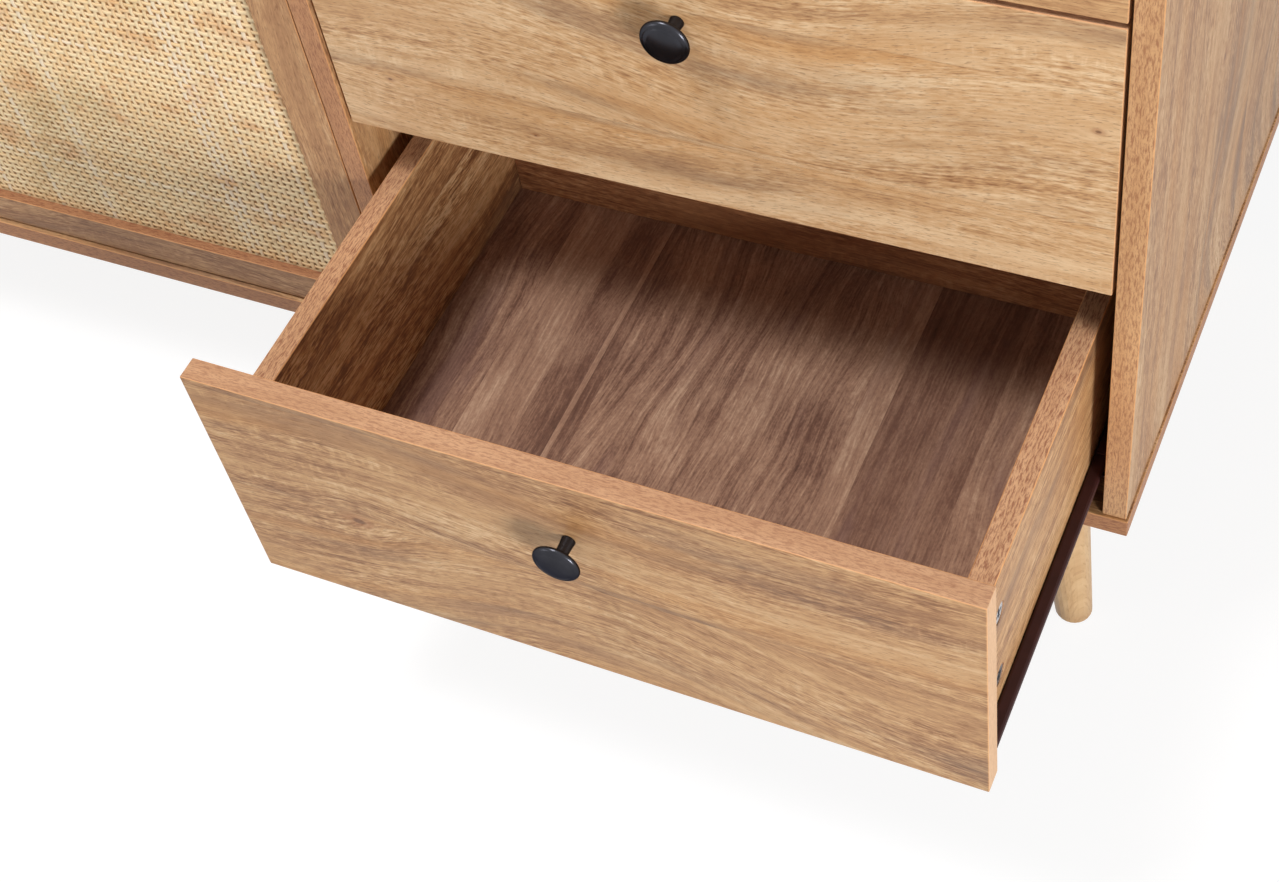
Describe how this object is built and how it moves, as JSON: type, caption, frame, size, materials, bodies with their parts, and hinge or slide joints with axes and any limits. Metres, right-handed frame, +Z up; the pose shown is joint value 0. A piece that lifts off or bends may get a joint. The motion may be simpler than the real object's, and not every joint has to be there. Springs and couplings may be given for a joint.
{
  "type": "sideboard",
  "caption": "Low wooden sideboard on splayed tapered legs, with framed cane doors on pivot pins and a column of inset drawers on roller runners.",
  "frame": {"origin": "on the floor, under the middle of the space the part fills at rest, with its bottom drawer pulled out", "axes": "+Z up, -Y out of the doors and drawers, +X to the right of someone facing them"},
  "size_m": [1.521, 0.6288, 0.773],
  "materials": {
    "board_oak": "satin honey-oak wood print on board, orange-brown edge band",
    "thin_sheet": "satin brown wood print on thin sheet",
    "leg_wood": "clear-lacquered pale solid wood, turned",
    "cane": "natural woven cane webbing, matt to satin strands",
    "knob_metal": "glossy dark gunmetal",
    "runner_paint": "semi-gloss dark brown epoxy coat",
    "pin_steel": "bright zinc-plated steel"
  },
  "bodies": {
    "case": {"base_panel": "board_oak", "top_panel": "board_oak", "left_side_panel": "board_oak", "right_side_panel": "board_oak", "divider_1": "board_oak", "divider_2": "board_oak", "shelf_1": "board_oak", "shelf_2": "board_oak", "back_panel": "thin_sheet", "front_left_leg": "leg_wood", "front_right_leg": "leg_wood", "rear_left_leg": "leg_wood", "rear_right_leg": "leg_wood", "centre_leg": "leg_wood", "case_left_runner_1": "runner_paint", "case_right_runner_1": "runner_paint", "case_left_runner_2": "runner_paint", "case_right_runner_2": "runner_paint", "case_left_runner_3": "runner_paint", "case_right_runner_3": "runner_paint"},
    "bottom_drawer": {"bottom_drawer_front": "board_oak", "bottom_drawer_left_wall": "board_oak", "bottom_drawer_right_wall": "board_oak", "bottom_drawer_back": "board_oak", "bottom_drawer_floor": "thin_sheet", "bottom_drawer_knob": "knob_metal", "bottom_drawer_left_runner": "runner_paint", "bottom_drawer_right_runner": "runner_paint"},
    "middle_drawer": {"middle_drawer_front": "board_oak", "middle_drawer_left_wall": "board_oak", "middle_drawer_right_wall": "board_oak", "middle_drawer_back": "board_oak", "middle_drawer_floor": "thin_sheet", "middle_drawer_knob": "knob_metal", "middle_drawer_left_runner": "runner_paint", "middle_drawer_right_runner": "runner_paint"},
    "top_drawer": {"top_drawer_front": "board_oak", "top_drawer_left_wall": "board_oak", "top_drawer_right_wall": "board_oak", "top_drawer_back": "board_oak", "top_drawer_floor": "thin_sheet", "top_drawer_knob": "knob_metal", "top_drawer_left_runner": "runner_paint", "top_drawer_right_runner": "runner_paint"},
    "left_door": {"left_door_hinge_stile": "board_oak", "left_door_free_stile": "board_oak", "left_door_bottom_rail": "board_oak", "left_door_top_rail": "board_oak", "left_door_cane_panel": "cane", "left_door_knob": "knob_metal", "left_door_lower_pin": "pin_steel", "left_door_upper_pin": "pin_steel"},
    "middle_door": {"middle_door_hinge_stile": "board_oak", "middle_door_free_stile": "board_oak", "middle_door_bottom_rail": "board_oak", "middle_door_top_rail": "board_oak", "middle_door_cane_panel": "cane", "middle_door_knob": "knob_metal", "middle_door_lower_pin": "pin_steel", "middle_door_upper_pin": "pin_steel"}
  },
  "joints": [
    {"name": "bottom_drawer_slide", "type": "slide", "parent": "case", "child": "bottom_drawer", "axis": [0, -1, 0], "range_m": [-0.2107, 0.0143]},
    {"name": "middle_drawer_slide", "type": "slide", "parent": "case", "child": "middle_drawer", "axis": [0, -1, 0], "range_m": [0, 0.225]},
    {"name": "top_drawer_slide", "type": "slide", "parent": "case", "child": "top_drawer", "axis": [0, -1, 0], "range_m": [0, 0.225]},
    {"name": "left_door_hinge", "type": "hinge", "parent": "case", "child": "left_door", "pos_m": [-0.7346, -0.0779, 0.1669], "axis": [0, 0, -1], "range_deg": [0, 90]},
    {"name": "middle_door_hinge", "type": "hinge", "parent": "case", "child": "middle_door", "pos_m": [0.2336, -0.0779, 0.1669], "axis": [0, 0, 1], "range_deg": [0, 90]}
  ]
}
